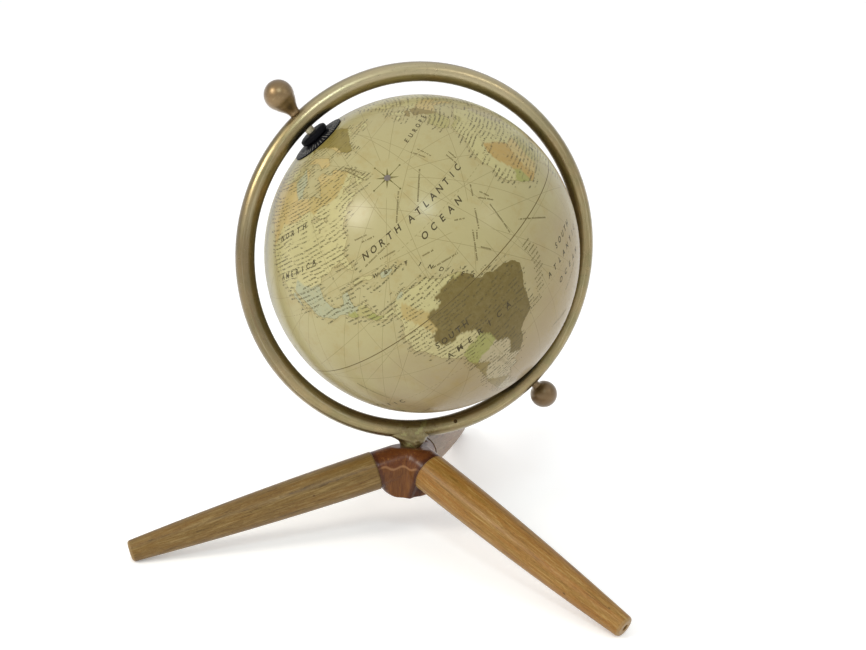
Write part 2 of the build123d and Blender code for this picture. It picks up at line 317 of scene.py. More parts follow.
coasts = {
    "northAmerica": "66,-168 68,-166 69,-163 71,-157 70,-145 70,-135 70,-128 69,-118 68,-108 68,-98 69,-94 "
    "72,-95 70,-88 67,-86 69,-82 66,-86 64,-88 61,-94 58,-94 57,-90 55,-83 52,-80 55,-79 59,-78 62,-78 "
    "62,-72 60,-70 58,-67 60,-65 57,-61 54,-57 52,-56 51,-58 50,-62 50,-66 48,-69 49,-65 47,-65 46,-61 "
    "45,-63 44,-66 45,-67 43,-70 42,-70 41,-73 39,-75 37,-76 35,-76 33,-79 31,-81 28,-80.5 25,-80.5 "
    "27,-82.5 30,-84 30,-88 29,-90 29.5,-94 27,-97.5 22,-98 19,-96 18,-94 19,-91 21,-90 21.5,-87 18.5,-88 "
    "16,-88.5 15.5,-84 12,-83.5 10,-83 9,-80 9.5,-78 8,-77 7.5,-78 8.5,-79.5 7.5,-80.5 8.5,-83 10,-85.5 "
    "12.5,-87.5 13.5,-91 16,-94 16,-98 18,-103 20,-105.5 23,-106.5 27,-110 31,-113 31.5,-114.5 28,-112 "
    "24,-110 23,-110 26,-112.5 30,-116 34,-118.5 34.5,-120.5 38,-123 43,-124.5 48,-124.5 50,-127 54,-130.5 "
    "58,-136 60,-142 61,-148 59,-152 57,-156 55,-161 58,-158 59,-162 61,-166 64,-165 64.5,-161 66,-162",
    "baffin": "73,-85 73,-77 70,-69 66,-61.5 63,-65 64,-73 66,-73 68,-74 70,-80 72,-88",
    "victoria": "73,-105 70,-102 69,-108 69,-116 71,-118 73,-115",
    "ellesmere": "83,-70 82,-62 78,-75 76,-80 76,-90 79,-88 81,-92",
    "banks": "74,-121 72,-119 71,-124 73,-125",
    "devon": "76,-96 75.5,-80 74.5,-81 74.5,-92",
    "newfoundland": "51.5,-56 49,-53.5 47,-53 47,-59 49,-58",
    "cuba": "23,-83 22.5,-79 21,-76 20,-74.5 20,-77.5 21.5,-79.5 22,-84.5",
    "hispaniola": "20,-73 19.5,-70 18.5,-68.5 18,-71 18.5,-74",
    "jamaica": "18.5,-78 18,-76.5 17.8,-77.5",
    "puertoRico": "18.5,-67 18.4,-65.7 18,-66.5",
    "greenland": "83.5,-32 82,-20 77,-18 74,-20 70,-22 68,-28 65,-40 60,-44 61,-48 65,-53 70,-54 74,-57 "
    "76,-67 78,-73 80,-66 82,-55 83,-42",
    "iceland": "66.5,-16 65,-13.5 63.5,-18.5 64,-22.5 65.5,-24 66.5,-22 65.5,-20.5",
    "southAmerica": "12,-72 12.5,-71.5 11,-70 12,-70 10.5,-67 10.5,-62 8.5,-60 7,-58 6,-55 5.5,-53 4,-51.5 "
    "1.5,-50 0,-50 -1,-48 -1,-46 -2.5,-44 -3,-40 -5,-36 -7,-35 -10,-36 -13,-38.5 -18,-39.5 -22,-41 "
    "-23,-43.5 -24,-46.5 -26,-48.5 -29,-49 -32,-52 -34,-53.5 -35,-56 -34,-58.5 -36.5,-57 -38.5,-58 -39,-62 "
    "-41,-63 -41,-65 -43,-65 -45,-66 -46,-67.5 -48,-66 -50,-69 -52.5,-68.5 -54,-67 -55,-67 -55,-70 "
    "-53.5,-73 -50,-75 -46,-75 -42,-73.5 -37,-73.5 -33,-71.5 -28,-71 -23,-70.5 -18,-70.5 -16,-74 -13,-76.5 "
    "-8,-79 -6,-81 -4,-81 -2.5,-80 -1,-81 1,-79.5 2,-78.5 4,-77.5 7,-77.5 8.5,-77 8,-76.5 10.5,-75.5 11,-74",
    "africa": "37,10 33.5,11 32,15 30.5,19 32.5,22 31.5,26 31,32 30,32.5 27,34 23,35.5 18,37.5 15,40 "
    "12,43.5 11.5,43 12,51 8,50 4,47.5 0,42.5 -4,39.5 -8,39.5 -11,40.5 -15,40.5 -18,37 -20,35 -24,35.5 "
    "-26,33 -29,32 -33,28 -34,25 -35,20 -33,18 -29,17 -23,14.5 -18,12 -12,13.5 -9,13 -5,12 -1,9 3,9.5 "
    "4.5,8.5 4.5,6 6.5,4 6,1 5,-3 4.5,-7.5 7,-11.5 9,-13.5 12,-16.5 14.5,-17.5 18,-16 21,-17 24,-16 "
    "28,-12.5 30,-10 33,-8.5 35.5,-6 35,-2 36.5,3 37,8",
    "madagascar": "-12,49.5 -16,50 -25,47 -25,44 -20,44 -16,44.5",
    "eurasia": "37,-9 38.5,-9.5 43,-9 43.5,-2 46,-1 48.5,-4.5 49.5,-2 51,2 53,5 54,8.5 57,8 57.5,10.5 "
    "56,10.5 54.5,10 54,14 54.5,19 57,21.5 59,23 59.5,28 60.5,28 60,23 63,21.5 65.5,24.5 63,18 60.5,17.5 "
    "58.5,16.5 56,16 55.5,13 59,11 58,7 61,5 64,10 67.5,14.5 70,20 71,26 70,31 67.5,41 66.5,33.5 64,38 "
    "65,40 66,44 68,44 68.5,54 69,61 70,67 73,69 68,73 71,73 73,80 75,87 76,98 77.5,104 74,112 73.5,124 "
    "71,130 72.5,140 71.5,152 69.5,160 69.5,170 69,179 66,190 64.5,187 65,180 62.5,179 60,170 60,164 56,163 "
    "51,156.5 56,156 61,163.5 62,157 59,150 59,143 54,137 53,141 48,140 43,132.5 40,128 37,129.5 35,129 "
    "34.5,126.5 37.5,126.5 39.5,125 40.5,122 39,118 37.5,119 37,122.5 35,119.5 32,121.5 30,122 27,120 "
    "23,117 22,114 21.5,110.5 21.5,108 19,106 16,108 12.5,109.5 10.5,107 8.5,105 10.5,104.5 13,100.5 "
    "10,99.5 7,100.5 4,103.5 1.5,104 3,101.5 6.5,100 10,98.5 16,97.5 16,94.5 20,93 22.5,90 21.5,87 19,85 "
    "16,82 13,80.5 10,80 8,77.5 12,75 16,73.5 21,72.5 21,70 24,67.5 25.5,63 25.5,58 27,56.5 30,50.5 30,48 "
    "26,50 24,52 24,54 26,56.5 23.5,58.5 21,59 17,55 15.5,52 13,45 13,43.5 17,42.5 21,39 25,37 28,34.5 "
    "29.5,35 31,34 34,35.5 36.5,36 36,33 37,30.5 37,27.5 40,26 40.5,23.5 38,24 36.5,23 38,21 40,19.5 "
    "42,19.5 45.5,13.5 44,12.5 42,16 40,18.5 38,16 40.5,14.5 43,10.5 44,9 43,6.5 43,3 41,1 38.5,0 37,-2 "
    "36,-5.5",
    "britain": "58.5,-5 57.5,-2 53,0.5 51.5,1.5 50,-5.5 51.5,-5 53.5,-4.5 55,-5",
    "ireland": "55,-7 53,-6 52,-10 54,-10",
    "svalbard": "80,12 80,25 77,18",
    "novayaZemlya": "76.5,68 73,57 71,53 74,56",
    "japan": "45.5,142 43,145.5 42,143 41.5,141 38,141.5 35.5,141 33.5,136 31,131 33.5,130 35.5,133 37,137 "
    "40.5,140",
    "sakhalin": "54,143 49,144 46,142.5 51,142",
    "taiwan": "25,121.5 22,121 24,120",
    "luzon": "18.5,121 14,124 14,120.5",
    "mindanao": "9.5,126 6,126 7,122",
    "borneo": "7,117 1,119 -3.5,116 -3,110.5 1.5,109 3,113",
    "sumatra": "5.5,95.5 1,103.5 -6,106 -1,100.5",
    "java": "-6,106 -7,112.5 -8.5,114.5 -7.5,108",
    "sulawesi": "1.5,125 -5.5,120.5 -3,119 0.5,120",
    "newGuinea": "-0.5,132 -2.5,140 -6,147.5 -10.5,150.5 -8,143.5 -8.5,139 -4.5,135.5 -3,133",
    "ceylon": "9.5,80 7,82 6,80.5 8,80",
    "australia": "-11,142.5 -15,145.5 -19,147 -23,151 -28,153.5 -33,151.5 -37.5,150 -39,146.5 -38,141 "
    "-35.5,138 -33,138 -35,136 -32,133 -32,127 -34,123.5 -35,118 -34.5,115 -31.5,115.5 -26,113.5 -22,114 "
    "-20,119 -17,122.5 -14,126.5 -15,129.5 -12,131 -12,136.5 -15,136 -17.5,140.5",
    "tasmania": "-41,145 -43.5,146.5 -41,148.5",
    "northIsland": "-34.5,173 -37,175.5 -37.5,178.5 -41.5,175.5 -39.5,174",
    "southIsland": "-40.5,172.5 -43.5,173 -46.5,169 -46,166.5 -42,171.5",
    "antarctica": "-70,0 -69,15 -69,30 -67,45 -66,55 -68,70 -66,85 -66,100 -66,115 -66,130 -67,145 -70,160 "
    "-72,170 -78,168 -78,195 -76,210 -74,225 -73,250 -73,265 -72,280 -65,298 -64,302 -68,297 -74,298 "
    "-78,315 -75,335 -71,350",
}

lakes = {
    "blackSea": "46.5,31 45,36.5 41.5,41.5 41,38 42,35 41.5,31 42.5,27.5 45,29",
    "caspian": "47,51 45,53 42,52.5 40,53.5 37,54 37,50 40,49.5 44,47 46.5,49",
    "superior": "48.5,-88 46.5,-85 47,-91",
    "michigan": "46,-86 42,-86.5 42,-88",
    "huron": "46,-83 43.5,-82 45,-80.5",
    "bear": "67,-120 65,-119 66,-124",
    "slave": "62,-109 61,-116 61.5,-116",
    "winnipeg": "53.5,-99 50.5,-96.5 52,-99",
    "victoriaLake": "0.5,32 0,34 -2.5,33 -1.5,31.5",
}

tints = {  # ink colours of the lands, as screen values
    "a": (158, 137, 78),   # pale ochre
    "b": (94, 79, 30),     # the big dark ochre land
    "c": (168, 160, 110),  # straw
    "d": (146, 150, 122),  # bluish grey
    "e": (134, 134, 68),   # moss
    "f": (156, 127, 66),   # orange ochre
    "g": (160, 149, 116),  # pinkish grey
    "h": (171, 148, 92),   # light ochre
    "i": (122, 106, 58),   # brown
    "j": (173, 164, 114),  # cream
    "k": (148, 140, 84),   # olive
    "m": (118, 104, 46),   # dark ochre
}

lands = (  # one letter of tints and the middle of the land that has it
    "m 72,-40 h 60,-115 h 56,-100 a 54,-76 d 64,-95 h 66,-80 c 70,-100 a 65,-150 c 46,-66 j 40,-76 c 42,-98 "
    "j 46,-112 h 52,-124 j 33,-86 c 36,-118 j 31,-99 d 27,-105 d 19,-99 d 20,-89 e 15,-90 k 14,-86 e 10,-84 "
    "c 8,-80 c 21,-79 d 19,-72 c 18,-77 a 3,-74 c 7,-65 c 5,-59 j 4,-55.5 k 4,-53 j -1,-78.5 j -9,-76 "
    "j -14,-71 e -19,-65 g -23,-59.5 g -35,-66 g -47,-70 i -30,-71.5 i -42,-73 g -33,-56 c 65,-18 c 53,-2 "
    "j 53,-8 j 62,15 c 63,28 i 47,2 k 40,-4 c 51,10 h 43,12 c 50,20 k 45,22 j 56,38 h 60,55 c 62,75 "
    "a 60,100 c 66,125 h 58,135 c 66,160 j 48,68 c 40,62 h 38,33 c 33,44 k 24,45 c 33,54 a 33,66 h 22,78 "
    "c 30,72 c 28,85 k 35,103 h 33,88 d 46,103 a 30,114 c 44,124 c 37,128 h 37,138 k 15,102 e 20,97 c 4,102 "
    "h 13,122 c 0,114 a -2,102 e -7,110 c -2,120 h -5,139 h -25,122 c -24,134 a -22,145 h -32,146 c -42,147 "
    "c -38,175 c -43,171 c 27,3 c 33,9 c 32,-6 c 22,-13 f 15,-6 c 21,2 c 17,10 g 27,18 c 27,30 k 15,30 "
    "a 8,39 c 14,-15 e 10,-12 f 9,-7 h 9,0 k 9,8 c 15,18 h 6,20 f -2,23 k 0,37 c 5,45 c -6,35 f -12,17 "
    "h -14,27 e -18,35 c -22,17 a -22,24 f -29,24 h -19,47 c 0,10 j -75,0 c -80,90 j -75,135 c -78,200 "
    "j -78,270"
)

bigLand = (  # the one land that is printed much darker than the rest
    "5,-60 4.5,-52 6,-48 0,-42 -3,-32 -10,-31 -20,-36 -27,-45 -34.5,-51 -33.5,-53.5 -31,-57.5 -27.5,-55 "
    "-25.5,-54.5 -24,-54.5 -22,-58 -17,-58 -16,-60 -13,-61 -10,-65.5 -11,-69 -10,-72.5 -7,-74 -5,-72.5 "
    "-4,-70 1,-70 2,-67 1,-66 2,-63.5 4,-64"
)


def outline(text):
    return [tuple(float(part) for part in pair.split(",")) for pair in text.split()]


def ballWays(latitudes, longitudes):  # unit vectors in the map's own frame
    lat, lon = np.radians(latitudes), np.radians(longitudes)
    return np.stack((np.cos(lat) * np.cos(lon), np.cos(lat) * np.sin(lon), np.sin(lat)), -1)


def stretched(latitude):  # the gores are a little longer than true half way up
    return latitude + mapPrint["stretch"] * np.sin(np.radians(2 * latitude))


def inside(ways, text):  # millimetres in from an outline, negative outside it
    lat, lon = np.array(outline(text)).T
    edge = ballWays(stretched(lat), lon)
    hub = edge.mean(0) / np.linalg.norm(edge.mean(0))
    side = np.cross(hub, (0.0, 0.0, 1.0) if abs(hub[2]) < 0.9 else (1.0, 0.0, 0.0))
    side /= np.linalg.norm(side)
    frontal = np.stack((side, np.cross(hub, side)))
    flatEdge = 2 * (edge @ frontal.T) / (1 + edge @ hub)[:, None]  # seen from the far side of the ball
    cosines = ways @ hub
    near = np.flatnonzero(cosines > math.cos(min(3.0, math.acos((edge @ hub).min()) + 0.12)))
    flat = 2 * (ways[near] @ frontal.T) / (1 + cosines[near])[:, None]
    nearest = np.full(len(near), 9.0)
    within = np.zeros(len(near), bool)
    for a, b in zip(flatEdge, np.roll(flatEdge, -1, 0)):
        run = b - a
        share = np.clip(((flat - a) @ run) / (run @ run), 0, 1)
        nearest = np.minimum(nearest, np.linalg.norm(flat - a - share[:, None] * run, axis=1))
        crosses = (a[1] > flat[:, 1]) != (b[1] > flat[:, 1])
        safeRise = run[1] if abs(run[1]) > 1e-12 else 1e-12
        within ^= crosses & (flat[:, 0] < a[0] + (flat[:, 1] - a[1]) / safeRise * run[0])
    distance = nearest * (1 + cosines[near]) / 2 * ballRadius
    far = mapPrint["farCoast"]
    found = np.full(len(ways), -far)
    found[near] = np.clip(np.where(within, distance, -distance), -far, far)
    return found


def nearestLands(ways):  # the tint of the nearest land, and millimetres to the border with the next one
    words = lands.split()
    spots = np.array([outline(pair)[0] for pair in words[1::2]])
    tint = np.array([paint(*tints[letter]) for letter in words[0::2]])
    seeds = ballWays(stretched(spots[:, 0]), spots[:, 1])
    waves = [np.sin(9 * np.roll(ways, k, 1)[:, 0] + 14 * ways[:, k]) for k in range(3)]
    bent = ways + math.radians(mapPrint["borderWobble"]) * np.stack(waves, -1)
    bent /= np.linalg.norm(bent, axis=1)[:, None]
    apart = 1 - bent @ seeds.T
    order = np.argpartition(apart, 1, axis=1)[:, :2]
    lengths = np.sqrt(2 * np.maximum(np.take_along_axis(apart, order, 1), 0))
    first = order[np.arange(len(ways)), lengths.argmin(1)]
    return tint[first], np.ptp(lengths, axis=1) / 2 * ballRadius


def drawMap(ways):  # coast distance, border distance and tint at each of these places
    coast = np.full(len(ways), -mapPrint["farCoast"])
    for text in coasts.values():
        coast = np.maximum(coast, inside(ways, text))
    for text in lakes.values():
        coast = np.minimum(coast, -inside(ways, text))
    tint, border = nearestLands(ways)
    dark = inside(ways, bigLand)
    tint[dark > 0] = paint(*tints["b"])
    border = np.where(dark > 0, dark, np.minimum(border, -dark))
    return coast, np.minimum(border, mapPrint["farCoast"]), tint


def shellProfile():  # one half of the ball, from the seam up over the outside and back down the inside
    outer, inner = ballRadius, ballRadius - mapPrint["wall"]
    seam, hole, rows, innerRows = (mapPrint[key] for key in ("seam", "poleHole", "rows", "innerRows"))
    far, near = mapPrint["bevel"]
    low, high, top = seam / outer + 0.0004, math.acos(hole / outer), math.acos(hole / inner)
    latitudes = [(outer, low + (high - low) * i / rows) for i in range(rows + 1)]
    latitudes += [(inner, top + (seam / inner - top) * i / innerRows) for i in range(innerRows + 1)]
    profile = [(reach * math.cos(lat), reach * math.sin(lat)) for reach, lat in latitudes]
    return [(outer - far, seam), (outer - near, seam + 0.01)] + profile


def makeBallHalf(name, side, finish):
    shape = turned(mirrored(shellProfile(), side), ballSpot, mapPrint["columns"])
    piece = meshPiece(name, shape, finish, "globe", ("globe_" + name[4:].lower(),))
    mesh = piece.data
    mesh.set_sharp_from_angle(angle=math.radians(mapPrint["sharp"]))
    ways = (vertices(piece) - np.array(centre)) @ np.array(ballSpot["axes"]).T
    coast, border, tint = drawMap(ways / np.linalg.norm(ways, axis=1)[:, None])
    for label, values in (("coast", coast), ("border", border)):
        kept = mesh.attributes.new(label, "FLOAT", "POINT")
        kept.data.foreach_set("value", values.astype(np.float32))
    kept = mesh.attributes.new("tint", "FLOAT_COLOR", "POINT")
    kept.data.foreach_set("color", tint.astype(np.float32).ravel())


# finishes

ballLook = {
    "sea": paint(157, 148, 105),
    # the southern sea: a warmer paper tone with painted shade in it
    "seaLowAndShade": paint(141, 124, 91),
    "ink": paint(98, 84, 44),
    "words": paint(70, 62, 34),
    "dirt": paint(144, 124, 70),
    "coastWobble": 3.2,     # how far the drawn coasts wander, in millimetres
    "lineStep": 30.0,       # degrees between the fine lines of the grid
    "lineWidth": 0.20,      # millimetres
    "equatorWidth": 0.42,   # half the printed equator line, in millimetres
    "equatorGap": 3.0,      # from the equator to the fine line south of it
    "tropic": 23.4,         # degrees from the equator to the dashed lines
    "labelRow": 1.4,        # degrees from one row of small labels to the next
    "labelBlock": 7.0,      # degrees after which the rows start at another height
    "stain": (38.6, 164.2), # the middle of a brown patch, with a second one opposite
    "roses": ((44.0, -46.5), (-30.0, -130.0), (-28.0, 78.0)),
    "rayHubs": (            # degrees north and east, and how many lines cross there
        (44.0, -46.5, 8), (-30.0, -130.0, 8), (-28.0, 78.0, 8), (13.5, -38.5, 5), (29.0, -60.0, 4),
        (2.0, -128.0, 5), (-12.0, 84.0, 4),
    ),
}


def mapRays(f, place):  # fine lines that run out from each compass rose and crossing
    fans = []
    for latitude, longitude, count in ballLook["rayHubs"]:
        hub = Vector(ballWays(latitude, longitude))
        side = unit(hub.cross(worldUp))
        rise = side.cross(hub)
        turns = [math.pi * (k + 0.12) / count for k in range(count)]
        near, *others = [abs(f.along(place, side * math.cos(turn) + rise * math.sin(turn))) for turn in turns]
        for other in others:
            near = near.to("MINIMUM", other)
        ahead = f.along(place, hub)  # no line at the hub itself or on the far half
        ends = f.ease(ahead, 15.0, 50.0) * f.ease(ahead, ballRadius * 0.994, ballRadius * 0.99)
        fans.append(f.line(near, 0.07, 0.22) * ends)
    return f.most(*fans)


def mapLines(f, place, latitude, longitude, flatness, z, land):  # grid, equator, tropics and rays
    look = ballLook

    def gridLine(degrees, scale):
        away = degrees.to("PINGPONG", look["lineStep"] / 2) * scale
        return f.line(away, look["lineWidth"] * 0.5, look["lineWidth"] * 1.1)

    grid = f.most(gridLine(longitude, flatness * perDegree), gridLine(latitude, perDegree))
    equator = f.line(abs(z), look["equatorWidth"] * 0.45, look["equatorWidth"])
    equator = f.most(equator, f.line(abs(z + look["equatorGap"]), 0.08, 0.24) * 0.45)
    tropic = abs(abs(z) - ballRadius * math.sin(math.radians(look["tropic"])))
    dashes = f.ease(longitude.to("PINGPONG", 1.0), 0.4, 0.55)
    rays = mapRays(f, place) * (1 - land)
    return f.most(grid * 0.42, f.line(tropic, 0.10, 0.24) * dashes * 0.5, rays * 0.5, equator * 0.85)


def mapStrokes(f, place, latitude, east, shore, darkLand):  # rows of small strokes in place of small names
    block = (east / ballLook["labelBlock"] + (f.grain(place, 0.03, 2.0) - 0.5) * 3.0).to("FLOOR")
    row = latitude / ballLook["labelRow"] + (f.grain(place, 0.028, 1.0) - 0.5) * 3.0
    row = row + f.grain((block * 5.7, block * 3.1, 2.0), 1.0, 1.0) * 9.0
    number = row.to("FLOOR")
    inRow = row - number
    band = f.ease(inRow, 0.22, 0.32) * f.line(inRow, 0.60, 0.70)
    thick = f.grain((east * 0.17, number * 3.7, block * 2.3), 1.0, 1.0)
    letters = f.grain((east * 2.3, number * 5.3, inRow * 1.3), 1.0, 2.0, 0.7)
    crowded = f.ease(shore, -5.0, 0.5, 0.44, 0.60)  # more of them on land and close to it
    named = f.ease(crowded - thick - darkLand * 0.09, -0.02, 0.0) * f.ease(shore, -4.6, -4.0)
    strokes = band * named * f.ease(letters, 0.44, 0.52)
    return strokes * f.ease(f.grain(place, 0.08, 2.0), 0.36, 0.45) * (1 - darkLand * 0.15)


def mapFinish():
    look = ballLook
    f = Finish("antiqueMap")
    x, y, z = f.axes(ballSpot)
    place = f.pack(x, y, z)
    latitude = (z / ballRadius).to("ARCSINE") * (180 / math.pi)
    longitude = y.to("ARCTAN2", x) * (180 / math.pi)
    flatness = (x * x + y * y) ** 0.5 / ballRadius  # how much shorter a parallel is than the equator
    coast = f.node("ShaderNodeAttribute", {"attribute_name": "coast"}, output=2)
    border = f.node("ShaderNodeAttribute", {"attribute_name": "border"}, output=2)
    tint = f.node("ShaderNodeAttribute", {"attribute_name": "tint"})

    shore = coast + (f.grain(place, 0.22, 6.0, 0.62) - 0.5) * look["coastWobble"]
    land = f.ease(shore, -0.09, 0.09)
    bent = border + (f.grain(place, 0.5, 3.0) - 0.5) * 0.7
    pale = f.ease(tint, 0.19, 0.27)  # 0 on the darkest inks, 1 on the pale ones

    # paper: the sea, warmer and darker towards the south, partly the paper's own tone and partly painted
    # shade on the lower half, with cloudy age marks, then the lands' inks
    warm = f.ease(z + (f.grain(place, 0.03, 5.0, 0.6) - 0.5) * 90, 30.0, -75.0)
    paper = f.blend(warm, look["sea"], look["seaLowAndShade"])
    mottled = f.coats(paper, (f.grain(place, 0.11, 6.0, 0.65), 0.48, 0.72, 0.35, look["dirt"]))
    landInk = f.coats(tint, (f.grain(place, 0.3, 5.0, 0.7), 0.35, 0.7, 0.12 + pale * 0.3, paper))
    colour = f.blend(land * (0.97 - pale * 0.17), mottled, landInk)
    colour = f.coats(colour, (shore, -3.0, -0.1, (1 - land) * 0.14, look["dirt"]))

    # ink: coasts, borders and lines, then the small strokes
    lines = mapLines(f, place, latitude, longitude, flatness, z, land)
    shoreLine = f.most(f.line(abs(shore), 0.10, 0.26) * 0.55, f.line(abs(shore + 1.2), 0.05, 0.22) * 0.16)
    inked = f.most(shoreLine, f.line(bent, 0.10, 0.30) * land * 0.32, lines)
    fine = f.grain(place, 1.1, 3.0, 0.6)
    colour = f.blend(inked * f.ease(fine, 0.2, 0.6, 0.7, 1.0), colour, look["ink"])
    strokes = mapStrokes(f, place, latitude, longitude * flatness, shore, land * (1 - pale))
    colour = f.blend(strokes * 0.8, colour, look["words"])
    stain = abs(f.along(place, Vector(ballWays(*look["stain"]))))
    colour = f.coats(colour, (stain, ballRadius * 0.9, ballRadius, 0.25, look["dirt"]))
    colour = f.coats(colour, (abs(z), 0.35, 0.1, 0.6, look["ink"]))  # dirt in the seam

    scuffs = f.grain(place, 0.6, 6.0, 0.7)
    bump = f.bump(fine, 0.00003, 0.25, f.bump(f.grain(place, 0.045, 2.0), 0.00035, 0.35))
    return f.shade(
        colour, f.ease(scuffs, 0.3, 0.75, 0.30, 0.46), Normal=bump, Coat_Weight=0.3, Coat_Roughness=0.2,
        Coat_IOR=1.5, Specular_IOR_Level=0.14,
    )


brassLook = {
    # the grime ink serves for real grime and also for painted shade
    **inks(
        bright=(196, 184, 146), brown=(118, 90, 50), grime=(80, 60, 30),
        weld=(112, 98, 54), green=(150, 148, 88),
    ),
    "ring": {
        "body": paint(142, 123, 80), "patch": paint(124, 114, 70), "streak": 0.6, "hair": 0.25, "spots": 0.55,
        "smooth": 0.26, "hairBump": 0.35, "spotBump": 0.4, "dull": 0.5, "coat": 0.27,
    },
    "knob": {
        "body": paint(122, 98, 58), "patch": paint(118, 90, 50), "streak": 0.1, "hair": 0.05, "spots": 0.2,
        "smooth": 0.36, "hairBump": 0.03, "spotBump": 0.04, "dull": 0.2, "coat": 0.34,
    },
}


def brassFinish(name, kind, spot):
    look = {**brassLook, **brassLook[kind]}
    f = Finish(name)
    x, y, z = f.axes(spot)
    place = f.pack(x, y, z)
    if kind == "ring":
        turn = y.to("ARCTAN2", x)
        rise = (x * x + y * y) ** 0.5 - ringRadius
        streaked = f.pack(turn * 4.0, rise, z)
        brushed = f.pack(turn * 26.0, rise * 5.0, z * 5.0)
        # painted shade: darker along the ring's inner side and along the outer edge of its upper half
        paintedShade = f.ease(rise, -2.8, -5.6) * 0.9 + f.ease(rise, 4.2, tubeRadius) * f.ease(x, 30.0, -30.0) * 0.6
    else:
        streaked = f.pack(x * 0.6, y * 0.6, z * 1.6)
        brushed = f.pack(x * 0.5, y * 0.5, z * 9.0)
        paintedShade = f.ease(z, 0.0, -100.0) * 0.5  # painted shade: the south end, under the ball, is darker
    streak = f.grain(streaked, 0.5, 5.0, 0.6)
    hair = f.grain(brushed, 1.0, 4.0, 0.7)
    spots = f.grain(place, 0.35, 6.0, 0.7)
    colour = f.coats(
        look["body"],
        (f.grain(place, 0.05, 4.0, 0.6), 0.35, 0.68, 1.0, look["patch"]),
        (streak, 0.5, 0.78, look["streak"], look["bright"]),
        (streak, 0.48, 0.25, 0.55, look["brown"]),
        (hair, 0.5, 0.75, look["hair"], look["bright"]),
        (spots, 0.60, 0.74, look["spots"], look["grime"]),
    )
    pits, weld, lumps = 0.0, 0.0, 0.0
    if kind == "ring":
        colour = f.coats(
            colour,
            (x, -70.0, -112.0, 0.5, look["bright"]),  # painted highlight along the top, painted shade on the left
            (y, -70.0, -108.0, f.ease(x, -50.0, 0.0) * 0.5, look["grime"]),
        )
    # the painted shade is blended in here with the grime ink
    colour = f.blend(paintedShade * 0.62, colour, look["grime"])
    if kind == "ring":
        pits = f.dots(place, 0.45, 0.05, 0.11) * f.ease(f.grain(place, 0.12, 2.0), 0.52, 0.6)
        weld = f.ease(x, ringRadius - 12.0, ringRadius - 2.0) * f.ease(abs(y), 24.0, 8.0)
        lumps = f.grain(place, 0.9, 4.0, 0.7) * weld * 2.0
        colour = f.coats(
            f.blend(pits * 0.85, colour, look["grime"]),
            (f.grain(place, 0.25, 5.0, 0.7), 0.25, 0.5, weld * 0.9, look["weld"]),
            (f.grain(place, 0.16, 4.0, 0.6), 0.52, 0.66, weld * 0.6, look["green"]),
            (f.grain(place, 0.5, 5.0, 0.7), 0.56, 0.68, weld * 0.8, look["grime"]),
        )
    rough = f.ease(spots, 0.3, 0.75, look["smooth"], 0.44) + pits * 0.3 + paintedShade * 0.12 + weld * 0.15
    height = hair * look["hairBump"] + spots * look["spotBump"] - pits * 1.5 + lumps
    dull = f.ease(spots, 0.62, 0.76) * look["dull"] + pits * 0.6
    return f.shade(
        colour, rough, Metallic=1 - dull, Normal=f.bump(height, 0.00010, 0.5),
        Coat_Weight=1.0, Coat_Roughness=look["coat"],
    )


woodLook = {
    # one wood for all three legs: the rear leg's greyer inks are a painted sheen, and the left leg's inks are
    # darker than the right leg's
    "left": inks(mid=(104, 81, 40), dark=(75, 55, 24), light=(134, 111, 66), warm=(112, 82, 35)),
    "right": inks(mid=(133, 98, 42), dark=(99, 68, 24), light=(159, 128, 72), warm=(139, 93, 36)),
    "rear": inks(mid=(116, 90, 60), dark=(86, 64, 40), light=(140, 116, 84), warm=(122, 86, 54)),
    "end": paint(146, 120, 80),
    "knot": paint(70, 44, 18),
}


def legFinish(name):
    look, length = woodLook[name], legSpots[name]["length"]
    f = Finish("legWood" + name.capitalize())
    x, y, z = f.axes(legSpots[name])
    seed = 40.0 * legNames.index(name)  # each leg is from another stretch of the plank
    lean = z * 0.02
    drawn = f.pack(x + lean, y + lean * 0.6, z * 0.055 + seed)
    rings = f.grain(drawn, 0.7, 5.0, 0.65, 0.5)
    fibre = f.grain((x * 1.6 + lean, y * 1.6, z * 0.07 + seed), 1.8, 4.0, 0.7)
    flecks = f.grain((x * 1.1, y * 1.1, z * 0.4 + seed), 1.3, 3.0, 0.7)
    pores = f.ease(f.grain((x * 3.2, y * 3.2, z * 0.22 + seed), 1.0, 3.0, 0.7), 0.60, 0.70)
    knots = f.dots(f.pack(x, y, z * 0.6 + seed), 0.13, 0.04, 0.12)
    knots = knots * f.ease(f.grain((x, y, z + seed), 0.05, 1.0), 0.50, 0.58)
    colour = f.coats(
        look["mid"],
        (f.grain(drawn, 0.22, 4.0, 0.6, 0.8), 0.32, 0.68, 1.0, look["warm"]),
        (rings, 0.50, 0.68, 0.95, look["light"]),
        (rings, 0.48, 0.30, 0.95, look["dark"]),
        (fibre, 0.50, 0.66, 0.5, look["light"]),
        (flecks, 0.56, 0.68, 0.5, look["dark"]),
        (flecks, 0.42, 0.30, 0.45, look["light"]),
    )
    colour = f.blend(pores * 0.6, colour, look["dark"])
    colour = f.coats(
        f.blend(knots * 0.8, colour, woodLook["knot"]),
        (z, length - 2.2, length - 1.0, 0.6, woodLook["end"]),
        (z, 2.0, 0.2, 0.5, look["dark"]),
    )
    height = fibre * 0.5 + rings * 0.5 - pores * 0.9 - knots * 1.5
    rough = f.ease(fibre, 0.3, 0.7, 0.36, 0.5) + pores * 0.12
    return f.shade(
        colour, rough, Normal=f.bump(height, 0.00012, 0.45),
        Coat_Weight=0.14, Coat_Roughness=0.3, Specular_IOR_Level=0.2,
    )


# the gap ink is painted shade beside the legs, and the crest ink a painted highlight along the crest
hubInks = inks(
    top=(92, 50, 20), dark=(56, 28, 14), light=(134, 88, 40), red=(84, 44, 22), side=(98, 60, 22),
    gap=(54, 24, 18), crest=(160, 118, 80),
)


